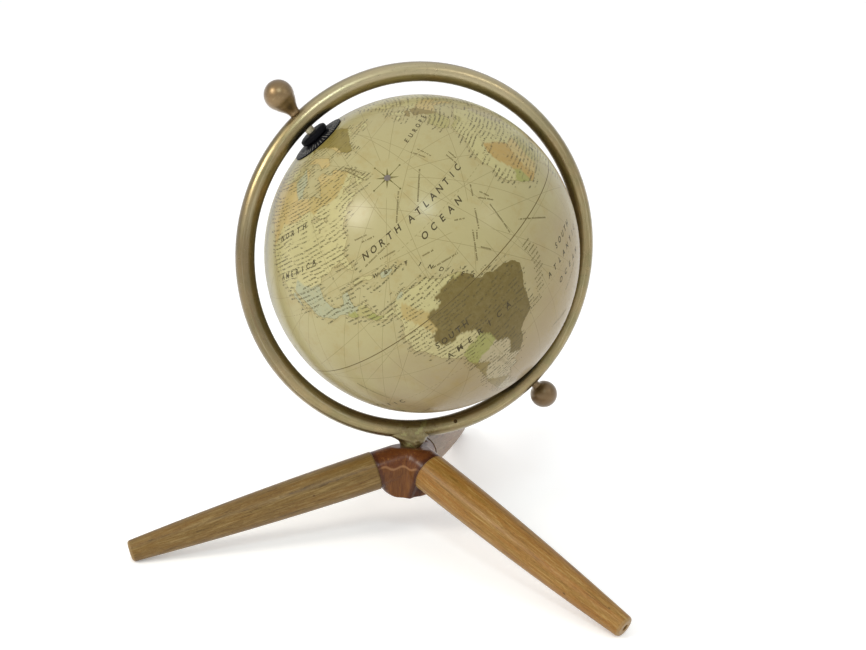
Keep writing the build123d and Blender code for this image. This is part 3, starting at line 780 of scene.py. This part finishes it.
def hubFinish():
    look = hubInks
    f = Finish("hubWood")
    x, y, z = f.axes({"origin": middle("hub"), "axes": worldAxes})
    upright = f.pack(x, y, z * 0.06)
    rings = f.grain(upright, 0.55, 5.0, 0.65, 0.3)
    fibre = f.grain((x * 2.4, y * 2.4, z * 0.1), 1.4, 4.0, 0.7)
    stripes = f.grain((x * 2.0, y * 2.0, z * 0.08), 0.9, 4.0, 0.7)
    pores = f.ease(fibre, 0.40, 0.30)
    level = z - 6.2 + (y * 0.35 - x * 0.5).to("SINE") * 0.9  # over or under the wavy crest, where a highlight is painted
    sawn = f.ease(level + (f.grain((x, y, z), 0.12, 2.0) - 0.5) * 2.0, 0.6, -0.8)
    colour = f.coats(
        look["top"],
        (f.grain(upright, 0.16, 4.0, 0.6, 0.6), 0.35, 0.65, 1.0, look["red"]),
        (rings, 0.5, 0.75, 0.8, look["light"]),
        (rings, 0.46, 0.25, 0.8, look["dark"]),
        (fibre, 0.52, 0.72, 0.3, look["light"]),
    )
    colour = f.blend(pores * 0.5, colour, look["dark"])
    colour = f.coats(
        f.blend(sawn * 0.55, colour, look["side"]),
        (stripes, 0.50, 0.66, sawn * 0.5, look["light"]),
        (stripes, 0.46, 0.32, sawn * 0.45, look["dark"]),
        # painted highlight along the crest
        (abs(level), 1.2, 0.2, 0.5, look["crest"]),
    )
    for name in legNames:  # painted shade in the corner beside each leg
        along = f.axes(legSpots[name])[2]
        colour = f.coats(colour, (along, -3.4, -1.0, f.ease(along, 3.0, 2.0) * 0.7, look["gap"]))
    height = fibre * 0.5 + rings * 0.4 - pores * 0.6
    return f.shade(
        colour, f.ease(fibre, 0.3, 0.7, 0.26, 0.42), Normal=f.bump(height, 0.0001, 0.4),
        Coat_Weight=0.22, Coat_Roughness=0.2, Specular_IOR_Level=0.12,
    )


discLook = {
    **inks(black=(16, 16, 19), dust=(30, 30, 34), tick=(186, 184, 176)),
    "ticks": 44,
    "tickStart": 12.4,      # millimetres from the pole
    "tickEnd": 16.8,
    "longer": 2.0,          # every fifth tick starts this much nearer the pole
}


def blackFinish(name, ticked):
    look = discLook
    f = Finish(name)
    x, y, z = f.axes(ballSpot)
    place = f.pack(x, y, z)
    dust = f.grain(place, 0.8, 6.0, 0.7)
    height = f.grain(place, 0.5, 4.0, 0.6)
    colour = f.coats(look["black"], (dust, 0.5, 0.75, 0.4, look["dust"]))
    if ticked:
        perTick = fullTurn / look["ticks"]
        out = (x * x + y * y) ** 0.5
        turn = y.to("ARCTAN2", x) * (1 / perTick)
        width = turn.to("PINGPONG", 0.5) * perTick * out
        fifth = f.ease((turn / 5.0).to("PINGPONG", 0.5) * 5.0, 0.3, 0.2)
        start = look["tickStart"] - fifth * look["longer"]
        tick = f.ease(out - start, 0.0, 0.4) * f.line(out, look["tickEnd"], look["tickEnd"] + 0.6)
        worn = f.ease(f.grain(place, 0.5, 4.0, 0.7), 0.32, 0.5, 0.5, 1.0)
        colour = f.coats(colour, (width, 0.20, 0.05, tick * worn * 0.85, look["tick"]))
    rough = f.ease(dust, 0.3, 0.8, 0.34, 0.55)
    return f.shade(colour, rough, Normal=f.bump(height, 0.00004, 0.2), Specular_IOR_Level=0.03)


steelLook = {  # light, dark, and how rough
    "darkPin": (paint(84, 66, 38), paint(40, 30, 16), 0.45),
    "brightSleeve": (paint(186, 178, 152), paint(96, 88, 62), 0.3),
    "zincSteel": (paint(190, 190, 186), paint(120, 120, 116), 0.35),
    "axleSteel": (paint(200, 198, 190), paint(130, 128, 120), 0.25),
}


def steelFinish(name, spot):
    light, dark, rough = steelLook[name]
    f = Finish(name)
    x, y, z = f.axes(spot)
    lathe = f.grain((x * 0.15, y * 0.15, z * 6.0), 1.0, 4.0, 0.7)
    stains = f.grain((x, y, z), 0.5, 5.0, 0.7)
    colour = f.coats(light, (lathe, 0.35, 0.7, 1.0, dark), (stains, 0.56, 0.75, 0.5, dark))
    rough = f.ease(stains, 0.3, 0.7, rough, rough + 0.2)
    metal = 1 - f.ease(stains, 0.6, 0.8) * 0.3
    return f.shade(colour, rough, Metallic=metal, Normal=f.bump(lathe, 0.00005, 0.4))


innerLook = inks(
    beech=(190, 156, 108), beechDark=(170, 130, 84), beechFleck=(140, 100, 60), board=(196, 184, 156),
    boardDark=(160, 146, 116),
)


def dowelFinish(name):
    f = Finish("dowel" + name.capitalize())
    x, y, z = f.axes(legSpots[name])
    grain = f.grain((x, y, z * 0.07), 0.9, 5.0, 0.65)
    flecks = f.grain((x * 3, y * 3, z * 0.4), 1.0, 3.0)
    colour = f.coats(
        innerLook["beech"], (grain, 0.35, 0.7, 1.0, innerLook["beechDark"]),
        (flecks, 0.58, 0.68, 0.5, innerLook["beechFleck"]),
    )
    rough = f.ease(grain, 0.3, 0.7, 0.5, 0.65)
    return f.shade(colour, rough, Normal=f.bump(grain, 0.0001, 0.4))


def boardFinish(name):
    f = Finish(name)
    pulp = f.grain(f.pack(*f.axes(ballSpot)), 0.8, 6.0, 0.7)
    colour = f.coats(innerLook["board"], (pulp, 0.35, 0.7, 1.0, innerLook["boardDark"]))
    rough = f.ease(pulp, 0.3, 0.7, 0.6, 0.8)
    return f.shade(colour, rough, Normal=f.bump(pulp, 0.0002, 0.4))


def dress(finish, *names):
    for name in names:
        node = nodes[name]
        if not node.material_slots:
            node.data.materials.append(finish)
        for place in node.material_slots:
            place.material = finish


# turned and rounded pieces that take the place of plainer ones

knobLook = {
    "neck": (               # radius, and height from the ball's middle, up to the round end
        (0.4, 120.7), (3.6, 120.7), (3.45, 121.8), (3.65, 123.0), (4.2, 124.5), (5.0, 126.0), (6.0, 127.5),
        (7.0, 129.1),
    ),
    "radius": 9.2,
    "level": 135.8,
    "turns": (-35.0, 89.0, 6.0),    # degrees round the end: first, limit and step
}

capLook = {
    "radius": 9.5,          # millimetres
    "bore": 2.1,
    "foot": 101.75,         # from the ball's middle to the cap's underside and top
    "top": 106.56,
    "waist": 0.15,          # how far the sides draw in half way up
    "softness": 3.4,        # 2 is an ellipse, more is squarer
    "steps": 40,
}


def knobProfile():
    radius, level = knobLook["radius"], knobLook["level"]
    turns = np.radians(np.arange(*knobLook["turns"]))
    end = [(radius * math.cos(turn), level + radius * math.sin(turn)) for turn in turns]
    return [*knobLook["neck"], *end, (0.4, level + radius)]


def capProfile():
    look = capLook
    half, level = (look["top"] - look["foot"]) / 2, (look["top"] + look["foot"]) / 2
    bore, power = look["bore"], 2 / look["softness"]
    profile = [(bore, look["foot"])]
    for i in range(1, look["steps"]):
        turn = math.pi * (i / look["steps"] - 0.5)
        rise = math.copysign(abs(math.sin(turn)) ** power, turn)
        waist = look["waist"] * (1 - rise * rise) * 0.5
        radius = bore + (look["radius"] - bore) * math.cos(turn) ** power - waist
        profile.append((max(radius, bore), level + half * rise))
    return profile + [(bore, look["top"])]


def soften(piece, look):  # fuse overlapping shapes into one skin and round their edges
    remesh = piece.modifiers.new("fuse", "REMESH")
    remesh.mode = "VOXEL"
    remesh.voxel_size = look["voxel"] * mm
    relax = piece.modifiers.new("relax", "SMOOTH")
    relax.factor = 0.5
    relax.iterations = look["rounds"]
    mesh = settled(piece)
    piece.modifiers.clear()
    rough, finish = piece.data, piece.data.materials[0]
    piece.data = mesh
    bpy.data.meshes.remove(rough)
    mesh.materials.clear()
    mesh.materials.append(finish)
    mesh.shade_smooth()


postLook = {
    "levels": (  # millimetres below the ring's centre, reach left, reach right, and half the depth
        (128.3, 8.3, 4.4, 6.0), (127.2, 8.5, 4.9, 6.1), (126.0, 8.8, 6.2, 6.3), (124.6, 9.5, 7.8, 6.6),
        (123.2, 10.9, 8.8, 6.9), (122.2, 12.8, 9.3, 7.1), (121.4, 15.4, 9.8, 7.1), (120.6, 18.2, 10.8, 6.9),
        (119.6, 20.9, 12.4, 6.6), (118.0, 21.5, 13.0, 6.45), (115.5, 20.0, 12.5, 6.5),
        (113.2, 16.0, 10.0, 6.3), (111.4, 10.0, 7.0, 5.2),
    ),
    "sides": 72,
    "weldStart": 126.6,     # the weld is full 3 mm above this level
    "lump": 0.28,           # height of the weld's lumps, in millimetres
    "voxel": 0.42,
    "rounds": 6,
}


def postShape():  # a stub that flares up into the tube, longer on its left
    downward, across, outward = ringSpot["axes"]
    sides, levels = postLook["sides"], postLook["levels"]
    points = []
    for level, left, right, depth in levels:
        for k in range(sides):
            side, out = math.cos(fullTurn * k / sides), math.sin(fullTurn * k / sides)
            reach = (right if side > 0 else left) * side
            sag = ringRadius - (ringRadius ** 2 - reach * reach) ** 0.5
            weld = max(0.0, min(1.0, (postLook["weldStart"] - level) / 3.0))
            wave = math.sin(reach * 1.1 + level * 0.9) * math.sin(out * 5.0 + level * 1.7)
            lump = postLook["lump"] * weld * wave
            spot = across * (reach + lump * side) + outward * out * (depth + lump)
            points.append(centre + (downward * (level - sag * weld) + spot) * mm)
    foot = tuple(reversed(range(sides)))
    top = tuple(range(len(points) - sides, len(points)))
    return points, gridFaces(len(levels), sides) + [foot, top]


hubLook = {
    "stubRadius": 12.6,     # the hub's arms behind the legs, in millimetres
    "stubLength": 7.0,
    "intoLeg": 0.9,
    "coreDepth": 127.3,     # from the ring's centre down to where the core's axis is set
    "core": (               # radius and height over the floor, from the top down
        (0.4, 65.6), (7.0, 64.6), (14.0, 57.2), (15.2, 54.8), (15.3, 44.0), (15.1, 34.2), (14.0, 32.8),
        (0.4, 32.8),
    ),
    "voxel": 0.7,
    "rounds": 6,
}


def hubShape():  # the sawn hub, with a turned core and a round arm behind each leg
    points = [Vector(corner) for corner in vertices(nodes["hub"])]
    faces = [tuple(p.vertices) for p in nodes["hub"].data.polygons]
    post = centre + down * hubLook["coreDepth"] * mm
    shapes = [turned(hubLook["core"], {"origin": Vector((post.x, post.y, 0.0)), "axes": worldAxes}, 72)]
    radius, back, front = hubLook["stubRadius"], -hubLook["stubLength"], hubLook["intoLeg"]
    stub = [(0.4, back), (radius, back), (radius, front), (0.4, front)]
    for name in legNames:
        shapes.append(turned(stub, legSpots[name], 48))
    for more, moreFaces in shapes:
        faces += [tuple(len(points) + corner for corner in face) for face in moreFaces]
        points += more
    return points, faces


antiqueMap = mapFinish()
ringBrass = brassFinish("ringBrass", "ring", ringSpot)
knobBrass = brassFinish("turnedBrass", "knob", ballSpot)
capBlack = blackFinish("poleCap", False)
dress(ringBrass, "ring")
dress(knobBrass, "finial_south")
dress(capBlack, "cap_collar_north", "cap_collar_south")
dress(blackFinish("poleDisc", True), "polar_disc_north", "polar_disc_south")
dress(boardFinish("innerBoard"), "equator_band")
dress(steelFinish("darkPin", ringSpot), "ring_pin", "ring_spigot")
dress(steelFinish("brightSleeve", ballSpot), "sleeve_north", "sleeve_south")
dress(steelFinish("zincSteel", ringSpot), "hub_bolt", "hub_washer")
dress(steelFinish("axleSteel", ballSpot), "axle")
for name in legNames:
    dress(legFinish(name), "leg_" + name)
    dress(dowelFinish(name), "dowel_" + name)
print("finishes mixed")

poles = (("North", 1), ("South", -1))
soften(meshPiece("weldedPost", postShape(), ringBrass, "stand", ("ring_post",)), postLook)
knob = turned(knobProfile(), ballSpot)
meshPiece("northKnob", knob, knobBrass, "stand", ("finial_north",))
for pole, side in poles:
    cap = turned(mirrored(capProfile(), side), ballSpot)
    meshPiece("softCap" + pole, cap, capBlack, "globe", ("pole_cap_" + pole.lower(),))
soften(meshPiece("roundedHub", hubShape(), hubFinish(), "stand", ("hub",)), hubLook)
for pole, side in poles:
    makeBallHalf("ball" + pole, side, antiqueMap)
print("pieces rounded, and the map drawn on both halves of the ball")


# print on the ball: the names of the oceans and continents, plain notes, and the compass roses

largePrint = {
    "lift": 0.05,           # millimetres over the ball
    "slant": 0.28,
    "bold": 0.018,          # how much the strokes are thickened
    "roundness": 3,         # straight parts in each curve of a letter
    "names": (              # word, degrees north, degrees east of its first and last letters, height, fall
        "NORTH 29 -74 -58.5 4, ATLANTIC 28.5 -52.5 -25.5 4, OCEAN 21.5 -53 -36 4, "
        "SOUTH -9.5 -74.5 -62.5 3.8, AMERICA -15.5 -74 -47.5 3.8, NORTH 50 -116 -96 3.4, "
        "AMERICA 37 -119 -96 3.4, EUROPE 48 -25 -4.5 3, SOUTH -16 -17.5 -4.5 3.4, ATLANTIC -21 -27 1 3.4, "
        "OCEAN -27.5 -22 -4 3.4, AFRICA 9 9 33 3.2, ASIA 47 78 104 3.6, INDIAN -17 66 90 4, "
        "OCEAN -24 68 88 4, AUSTRALIA -25 119 147 3, NORTH 28 168 184 4, PACIFIC 28 190 214 4, "
        "OCEAN 20 184 204 4, SOUTH -24 208 224 4, PACIFIC -24 230 254 4, OCEAN -32 222 242 4, "
        "ANTARCTICA -77 20 140 3, WEST 22 -75 -64 2.5 3, INDIES 16 -60.5 -50 2.5 14.5"
    ),
}


def letterShape(letter):  # corners and faces of one capital, one unit high
    curve = bpy.data.curves.new("letter" + letter, "FONT")
    curve.body = letter
    curve.align_x = "CENTER"
    curve.offset = largePrint["bold"]
    curve.resolution_u = largePrint["roundness"]
    piece = linked("letter" + letter, curve)
    mesh = settled(piece)
    corners = np.array([v.co[:2] for v in mesh.vertices], float)
    faces = [tuple(p.vertices) for p in mesh.polygons]
    bpy.data.objects.remove(piece)
    bpy.data.curves.remove(curve)
    bpy.data.meshes.remove(mesh)
    return (corners - (0, corners[:, 1].min())) / np.ptp(corners[:, 1]), faces


def nameShape():
    shapes = {}
    points, faces = [], []
    for entry in largePrint["names"].split(", "):
        word, *numbers = entry.split()
        top, first, last, height, *fall = (float(number) for number in numbers)
        drop = sum(fall)
        for i, letter in enumerate(word):
            if letter not in shapes:
                shapes[letter] = letterShape(letter)
            corners, parts = shapes[letter]
            share = i / (len(word) - 1)
            latitude, longitude = top - drop * share, first + (last - first) * share
            lean = -math.atan2(drop, (last - first) * math.cos(math.radians(latitude)))
            faces += [tuple(len(points) + corner for corner in part) for part in parts]
            for across, up in corners:
                across = (across + largePrint["slant"] * up) * height
                up = (up - 0.5) * height
                east = across * math.cos(lean) - up * math.sin(lean)
                rise = across * math.sin(lean) + up * math.cos(lean)
                points.append(onBall(latitude, longitude, largePrint["lift"], east, rise))
    return points, faces


seaNotes = {  # rows of plain strokes out in the oceans, with no letters in them
    "height": 0.95,         # millimetres
    "lines": (              # degrees north and east of both ends of each
        "38,-35 31,-46  38,-48 31,-57  16,-34 11,-38  11,-39 9,-41  13,-29 2,-31  22,-28 19,-31  "
        "12,-40 4,-46  18,-42 16,-39  6,-42 3,-40  2,-25 -6,-15  44,-30 39,-29  43,-27 38,-27  "
        "34,-23 30,-24  34,-21 31,-22  18,-28 15,-27  17,-30 13,-27  59,-58 52,-53  58,-59 50,-55  "
        "33,-72 32,-67  35,-74 34,-69  26,-76 27,-64  17,-58 16,-54  12,-58 10,-49  25,-70 24,-64  "
        "12,-134 -4,-140  26,-146 22,-158  -8,-112 -20,-108  -40,-120 -36,-104  -14,-158 -20,-146  "
        "8,-166 7,-154  -6,70 -12,76  -34,60 -38,74  2,62 -2,56  -40,92 -36,104  -34,-20 -30,-8  "
        "-42,-34 -44,-20  22,146 14,150  8,152 4,164"
    ),
    "fringe": "-5,-31 -8,-30.5 -11,-31 -14,-32 -17,-34 -20,-35.5 -23,-39",  # short notes along a coast
    "fringeGap": 1.5,       # degrees between the two lines of each
    "fringeEnds": (0.4, 4.4),
    "stroke": (0.35, 0.75), # millimetres
    "heights": (0.75, 1.0),
    "gap": 0.22,
    "wideGap": 0.8,
    "narrow": 0.8,          # share of the gaps that are narrow
}


def noteShape():
    draw = random.Random(5)
    points, faces = [], []
    lift, reach = largePrint["lift"], (ballRadius + largePrint["lift"]) * mm
    ends = outline(seaNotes["lines"])
    for lat, lon in outline(seaNotes["fringe"]):
        for level in (lat, lat - seaNotes["fringeGap"]):
            ends += [(level, lon + step) for step in seaNotes["fringeEnds"]]
    for first, last in zip(ends[0::2], ends[1::2]):
        start, end = onBall(*first, lift), onBall(*last, lift)
        ahead = unit(end - start)
        place = 0.0
        while place < (end - start).length / mm:
            wide = draw.uniform(*seaNotes["stroke"])
            tall = seaNotes["height"] * draw.uniform(*seaNotes["heights"])
            faces.append(tuple(range(len(points), len(points) + 4)))
            for along, high in ((place, 0), (place + wide, 0), (place + wide, tall), (place, tall)):
                spot = start + ahead * along * mm - centre
                points.append(centre + unit(spot + unit(spot.cross(ahead)) * high * mm) * reach)
            place += wide + seaNotes["gap" if draw.random() < seaNotes["narrow"] else "wideGap"]
    return points, faces


roseLook = {
    "size": 6.8,            # millimetres from the middle to the tip of a straight ray
    "slantReach": 0.86,     # the rest are shares of the size
    "waist": 0.3,           # where a ray is widest
    "half": 0.10,
    "slantHalf": 0.075,
    "stemEnd": 1.5,         # the slanting rays go on as a thin stem with a dot at its end
    "stemHalf": 0.022,
    "dot": 0.085,
    "disc": 0.29,
    "discLift": 0.03,       # millimetres over the star
}


def roseShape(latitude, longitude):
    look, size = roseLook, roseLook["size"]
    points, faces = [], []

    def face(turn, *corners):  # shares of the size out along a ray and to its side
        faces.append(tuple(range(len(points), len(points) + len(corners))))
        for out, side in corners:
            across = (out * math.sin(turn) + side * math.cos(turn)) * size
            up = (out * math.cos(turn) - side * math.sin(turn)) * size
            points.append(onBall(latitude, longitude, largePrint["lift"], across, up))

    for k in range(8):
        turn = math.pi / 4 * (k + 1)
        slanting = k % 2 == 1
        reach, half = (look["slantReach"], look["slantHalf"]) if slanting else (1.0, look["half"])
        face(turn, (0.0, 0.0), (look["waist"], -half), (reach, 0.0), (look["waist"], half))
        if slanting:
            stem, thin, dot = look["stemEnd"], look["stemHalf"], look["dot"]
            face(turn, (reach * 0.9, -thin), (stem, -thin), (stem, thin), (reach * 0.9, thin))
            turns = np.linspace(0, fullTurn, 10, endpoint=False)
            face(turn, *((stem + 0.05 + dot * math.cos(a), dot * math.sin(a)) for a in turns))
    return points, faces


def discShape(latitude, longitude, sides=28):
    size, lift = roseLook["size"] * roseLook["disc"], largePrint["lift"] + roseLook["discLift"]
    turns = [fullTurn * k / sides for k in range(sides)]
    edge = [onBall(latitude, longitude, lift, size * math.sin(turn), size * math.cos(turn)) for turn in turns]
    return [onBall(latitude, longitude, lift)] + edge, fanFaces(sides)


inkLook = inks(nameInk=(58, 50, 30), noteInk=(104, 94, 58), starInk=(92, 86, 44), discInk=(104, 96, 92))


def inkFinish(name):
    f = Finish(name)
    worn = f.grain(f.pack(*f.axes(ballSpot)), 1.3, 5.0, 0.7)
    colour = f.coats(inkLook[name], (worn, 0.42, 0.72, 0.5, ballLook["ink"]))
    return f.shade(
        colour, f.ease(worn, 0.3, 0.7, 0.32, 0.46), Normal=f.bump(worn, 0.00003, 0.3),
        Coat_Weight=0.12, Coat_Roughness=0.25, Specular_IOR_Level=0.14,
    )


meshPiece("mapNames", nameShape(), inkFinish("nameInk"), "globe")
meshPiece("seaNotes", noteShape(), inkFinish("noteInk"), "globe")
starInk, discInk = inkFinish("starInk"), inkFinish("discInk")
for number, place in enumerate(ballLook["roses"]):
    meshPiece("compassStar%d" % number, roseShape(*place), starInk, "globe")
    meshPiece("compassDisc%d" % number, discShape(*place), discInk, "globe")
print("names, notes and compass roses printed")


# studio: floor, light and camera

studio = {
    "floorSize": 24.0,
    "flat": 4.0,            # metres out to where the floor starts to rise
    "rise": 1.1,
    "floorGap": 0.0003,     # from the feet down to the floor
    "floor": inks(light=(252, 252, 252), dark=(250, 250, 250)),
    "floorGlow": 0.20,
    "sky": paint(255, 255, 255),
    "horizon": 0.37,        # the sky's brightness at the horizon and overhead
    "zenith": 1.0,
    "lamps": (              # name, way from the ball, power, width, tone
        ("leftSoftBox", (-0.804, -0.237, 0.545), 8.0, 0.44, (1.0, 0.95, 0.86)),
        ("leftWindow", (-0.80, -0.45, 0.45), 0.6, 0.8, (1.0, 1.0, 1.0)),
        ("frontSoftBox", (-0.212, -0.650, 0.729), 3.6, 0.30, (0.80, 0.96, 1.0)),
        ("rightSoftBox", (0.486, -0.638, 0.598), 1.2, 0.36, (1.0, 0.94, 0.84)),
    ),
    "lampDistance": 1.5,
    "camera": (-242.41, -719.02, 203.22),   # from the ring's centre, in millimetres
    "turns": ((-18.74, "Z"), (67.28, "X"), (3.32, "Z")),    # degrees, one after the other
    "lens": 49.93,
    "shift": (0.0212, 0.1088),
}


def makeFloor():  # flat under the object, then it rises in a wide bowl
    steps, sides = 36, 96
    points = [(0.0, 0.0, -studio["floorGap"])]
    for i in range(1, steps + 1):
        out = studio["floorSize"] / 2 * i / steps
        rise = max(0.0, out / studio["flat"] - 1) ** 2 * studio["rise"] - studio["floorGap"]
        turns = [fullTurn * k / sides for k in range(sides)]
        points += [(out * math.cos(turn), out * math.sin(turn), rise) for turn in turns]
    bowl = [tuple(1 + corner for corner in face[::-1]) for face in gridFaces(steps, sides)]
    mesh = bpy.data.meshes.new("floor")
    mesh.from_pydata(points, [], fanFaces(sides) + bowl)
    mesh.shade_smooth()
    f = Finish("paleFloor")
    soft = f.grain(f.node("ShaderNodeTexCoord", output=3), 3.0, 2.0)
    colour = f.coats(studio["floor"]["light"], (soft, 0.3, 0.7, 1.0, studio["floor"]["dark"]))
    mesh.materials.append(f.shade(
        colour, f.ease(soft, 0.3, 0.7, 0.85, 0.95), Specular_IOR_Level=0.05,
        Emission_Color=colour, Emission_Strength=studio["floorGlow"],
    ))
    floor = linked("floor", mesh)


def makeLamps():
    for name, way, power, width, tone in studio["lamps"]:
        light = bpy.data.lights.new(name, "AREA")
        light.shape = "DISK"
        light.energy = power
        light.size = width
        light.color = tone
        lamp = linked(name, light)
        lamp.location = centre + unit(way) * studio["lampDistance"]
        lamp.rotation_euler = (-Vector(way)).to_track_quat("-Z", "Y").to_euler()


def makeSky():
    f = Finish("studioSky", "worlds")
    height = f.node("ShaderNodeSeparateXYZ", {}, (f.node("ShaderNodeTexCoord"),), 2)
    glow = f.most(height, 0.0) * (studio["zenith"] - studio["horizon"]) + studio["horizon"]
    f.node("ShaderNodeOutputWorld", {}, (f.node("ShaderNodeBackground", {}, (studio["sky"], glow)),))
    bpy.context.scene.world = f.block


def makeCamera():
    lens = bpy.data.cameras.new("camera")
    lens.lens = studio["lens"]
    lens.sensor_width = 36.0
    lens.shift_x, lens.shift_y = studio["shift"]
    lens.dof.use_dof = False
    camera = linked("camera", lens)
    camera.matrix_world = Matrix.Translation(centre + Vector(studio["camera"]) * mm)
    for degrees, axis in studio["turns"]:
        camera.matrix_world @= Matrix.Rotation(math.radians(degrees), 4, axis)
    bpy.context.scene.camera = camera


makeFloor()
makeSky()
makeLamps()
makeCamera()
bpy.context.scene.view_settings.view_transform = "Standard"
print("studio set up")
